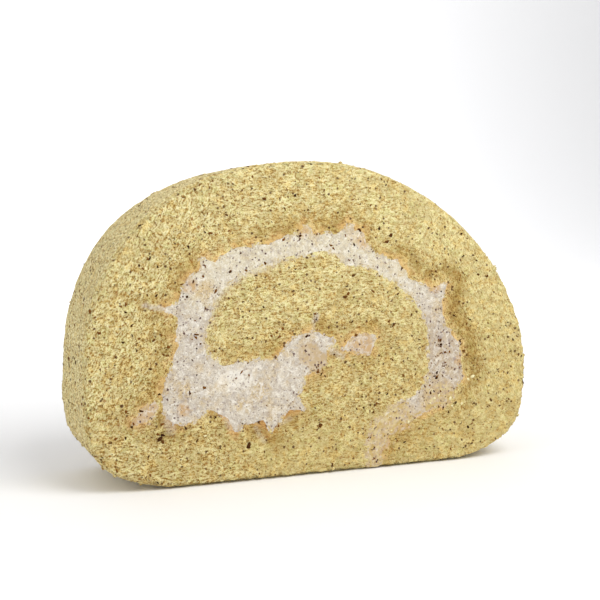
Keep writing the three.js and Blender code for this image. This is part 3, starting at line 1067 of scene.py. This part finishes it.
class SWISSROLL_OT_specks(bpy.types.Operator):
    """Scatter flakes of tea leaf over the cut faces and the skin"""

    bl_idname = "swissroll.specks"
    bl_label = "Tea specks"

    def execute(self, context):
        s = settings("specks")
        rng = np.random.default_rng(SPECK_SEED)
        pieces = dressed_pieces()
        low, high = np.array(CAD_BOX)
        middles = [(x * MM, low[1], z * MM) for x, z in TEA_CLUSTERS]
        middles = np.concatenate([middles, rng.uniform(low, high, (s.cluster_count, 3))])
        small = slice(len(TEA_CLUSTERS), None)
        middles[small, 1] = np.sign(middles[small, 1]) * high[1]
        strength = np.full(len(middles), LARGE_CLUSTER)
        strength[small] = SMALL_CLUSTER

        def gathered(places, normals):
            """More specks in clusters, at the left and on the ribbon, and fewer in the pool."""
            near = sum(
                push * np.exp(-(((places - middle) / s.cluster_size) ** 2).sum(axis=1) / 2)
                for middle, push in zip(middles, strength)
            )
            left = 1 / (1 + np.exp((places[:, 0] + 20 * MM) / (8 * MM)))
            ribbon = np.exp(-(((places - TEA_RIBBON) / TEA_RIBBON_SIZE) ** 2).sum(axis=1))
            pool = np.exp(-(((places - TEA_POOL) / TEA_POOL_SIZE) ** 2).sum(axis=1))
            density = 1 + 1.6 * left + 4.0 * ribbon - 0.7 * pool + near
            return cut_faces(places, normals) * density

        points = surface_points(pieces, 2 * s.face_count, gathered, rng)
        points += surface_points(pieces[:1], s.skin_count, outside, rng)
        span = random_lengths(s, len(points), 5, rng)
        span[2 * s.face_count :] *= s.skin_growth
        wide = span * (0.35 + 0.4 * rng.random(len(points)))
        deep = np.minimum(span * 0.4, 0.2 * MM)
        sizes = np.stack([span, wide, deep], axis=1)

        flakes, flake_sizes = marked_points(pieces, TEA_FLAKES, (1.0, 0.65, 0.25))
        points += flakes
        sizes = np.concatenate([sizes, flake_sizes])
        scatter("tea_specks", points, sizes, speck_material(s), 1, 1.2, rng)
        return {"FINISHED"}


def loose_crumb_material(s):
    f = Finish("loose_crumb")
    shade = f.attribute("shade")
    grain = f.noise(0.3 * MM, 2, 0.6)
    tone = shade * 0.1 + grain * 0.9
    base = f.ramp(tone, ((0.36, s.deep), (0.44, s.dark), (0.52, s.middle), (0.64, s.light)))
    return f.done(Base_Color=base, Roughness=0.92, Normal=f.bump(grain, 0.1 * MM, 0.7))


# Painted highlight: the colour of the flecks that stand for glints.
def glint_bit_material(s):
    f = Finish("pale_bit")
    grain = f.noise(0.5 * MM, 2, 0.6)
    base = f.mix(grain.rise(0.4, 0.6), s.light, s.bright)
    return f.done(Base_Color=base, Roughness=0.6, Normal=f.bump(grain, 0.1 * MM, 0.5))


class SWISSROLL_OT_crumbs(bpy.types.Operator):
    """Scatter crumbs over the cut faces and along their edges, and pale flecks on the front as
    painted glints
    """

    bl_idname = "swissroll.crumbs"
    bl_label = "Crumbs"

    def execute(self, context):
        s = settings("crumbs")
        rng = np.random.default_rng(CRUMB_SEED)
        pieces = dressed_pieces()

        def edges(places, normals):
            """The edges of the cut faces, and more of those low on the left."""
            rim = (np.abs(normals[:, 1]) < 0.8) & (np.abs(places[:, 1]) > 12 * MM)
            rim &= places[:, 2] > 1 * MM
            left = 1 + 3 * ((places[:, 0] < -40 * MM) & (places[:, 2] < 25 * MM))
            return rim * left

        points = surface_points(pieces[:1], 2 * s.face_count, cut_faces, rng)
        points += surface_points(pieces[:1], s.edge_count, edges, rng)
        span = random_lengths(s, len(points), 3, rng)
        sizes = span[:, None] * (0.6 + 0.5 * rng.random((len(points), 3)))
        scatter("crumbs", points, sizes, loose_crumb_material(settings("sponge")), 1, 0.7, rng)

        # Painted highlights: pale flecks where light glints on the front.
        points, sizes = marked_points(pieces, GLINT_BITS, (1.0, 0.65, 0.5))
        scatter("pale_bits", points, sizes, glint_bit_material(settings("sponge")), 2, 0.35, rng)
        return {"FINISHED"}


# ---- Stage -----------------------------------------------------------------------------------


def area_light(name, place, target, size, power, tint):
    data = bpy.data.lights.new(name, "AREA")
    data.shape = "DISK"
    data.size = size
    data.energy = power
    data.color = tint
    light = bpy.data.objects.new(name, data)
    light.location = place
    light.rotation_euler = (Vector(target) - Vector(place)).to_track_quat("-Z", "Y").to_euler()
    bpy.context.scene.collection.objects.link(light)


def backdrop(shade):
    """A floor that curves up into a wall behind the slice."""
    bm = bmesh.new()
    bmesh.ops.create_grid(bm, x_segments=1, y_segments=1, size=FLOOR_HALF)
    rear = [edge for edge in bm.edges if all(vert.co.y > 0 for vert in edge.verts)]
    wall = bmesh.ops.extrude_edge_only(bm, edges=rear)
    raised = [item for item in wall["geom"] if isinstance(item, bmesh.types.BMVert)]
    bmesh.ops.translate(bm, verts=raised, vec=(0, 0, WALL_HEIGHT))
    bmesh.ops.bevel(
        bm,
        geom=rear,
        offset=SWEEP,
        offset_type="OFFSET",
        segments=16,
        profile=0.5,
        affect="EDGES",
        material=-1,
    )
    mesh = bpy.data.meshes.new("backdrop")
    bm.to_mesh(mesh)
    bm.free()
    mesh.polygons.foreach_set("use_smooth", [True] * len(mesh.polygons))
    f = Finish("pale_paper")
    grain = f.noise(0.02, 2, 0.5)
    base = f.mix(grain * 0.04, shade, (0.7, 0.7, 0.72))
    mesh.materials.append(f.done(Base_Color=base, Roughness=0.85))
    floor = bpy.data.objects.new("backdrop", mesh)
    bpy.context.scene.collection.objects.link(floor)


def camera(s):
    """Stands a little to the left of the slice and looks slightly down at its front cut face."""
    data = bpy.data.cameras.new("camera")
    data.lens = s.lens
    data.sensor_width = SENSOR_WIDTH
    data.clip_start = NEAR_LIMIT
    eye = bpy.data.objects.new("camera", data)
    level = math.cos(s.pitch)
    heading = Vector((math.sin(s.yaw) * level, math.cos(s.yaw) * level, -math.sin(s.pitch)))
    eye.location = EYE
    eye.rotation_euler = heading.to_track_quat("-Z", "Y").to_euler()
    bpy.context.scene.collection.objects.link(eye)
    bpy.context.scene.camera = eye


class SWISSROLL_OT_stage(bpy.types.Operator):
    """Make the pale floor, the soft lights and the camera"""

    bl_idname = "swissroll.stage"
    bl_label = "Stage"

    def execute(self, context):
        s = settings("stage")
        scene = context.scene
        scene.view_settings.view_transform = "Standard"
        backdrop(s.floor)
        for name, (place, target, width, tint) in LIGHTS.items():
            area_light(name, place, target, width, getattr(s, name), tint)
        world = bpy.data.worlds.new("even_light")
        world.use_nodes = True
        world.node_tree.nodes["Background"].inputs["Color"].default_value = (1, 1, 1, 1)
        world.node_tree.nodes["Background"].inputs["Strength"].default_value = s.sky
        scene.world = world
        camera(s)
        return {"FINISHED"}


class SWISSROLL_PT_panel(bpy.types.Panel):
    """Lists the pieces of the slice and their settings"""

    bl_idname = "SWISSROLL_PT_panel"
    bl_label = "Swiss roll"
    bl_space_type = "VIEW_3D"
    bl_region_type = "UI"
    bl_category = "Swiss roll"

    def draw(self, context):
        for group, operator in PIECES.items():
            box = self.layout.box()
            box.operator(operator.bl_idname)
            for name in settings(group).bl_rna.properties.keys():
                if name not in ("rna_type", "name"):
                    box.prop(settings(group), name)


PIECES = {
    "stage": SWISSROLL_OT_stage,
    "sponge": SWISSROLL_OT_sponge,
    "cream": SWISSROLL_OT_cream,
    "specks": SWISSROLL_OT_specks,
    "crumbs": SWISSROLL_OT_crumbs,
}
GROUPS = {
    "stage": StageSettings,
    "sponge": SpongeSettings,
    "cream": CreamSettings,
    "specks": SpeckSettings,
    "crumbs": CrumbSettings,
}


def register():
    for name, group in GROUPS.items():
        bpy.utils.register_class(group)
        setattr(bpy.types.Scene, "swiss_roll_" + name, PointerProperty(type=group))
    for operator in PIECES.values():
        bpy.utils.register_class(operator)
    bpy.utils.register_class(SWISSROLL_PT_panel)


def unregister():
    bpy.utils.unregister_class(SWISSROLL_PT_panel)
    for operator in PIECES.values():
        bpy.utils.unregister_class(operator)
    for name, group in GROUPS.items():
        delattr(bpy.types.Scene, "swiss_roll_" + name)
        bpy.utils.unregister_class(group)


def main():
    register()
    bpy.ops.swissroll.stage()
    bpy.ops.swissroll.sponge()
    bpy.ops.swissroll.cream()
    bpy.ops.swissroll.specks()
    bpy.ops.swissroll.crumbs()


if __name__ == "__main__":
    main()
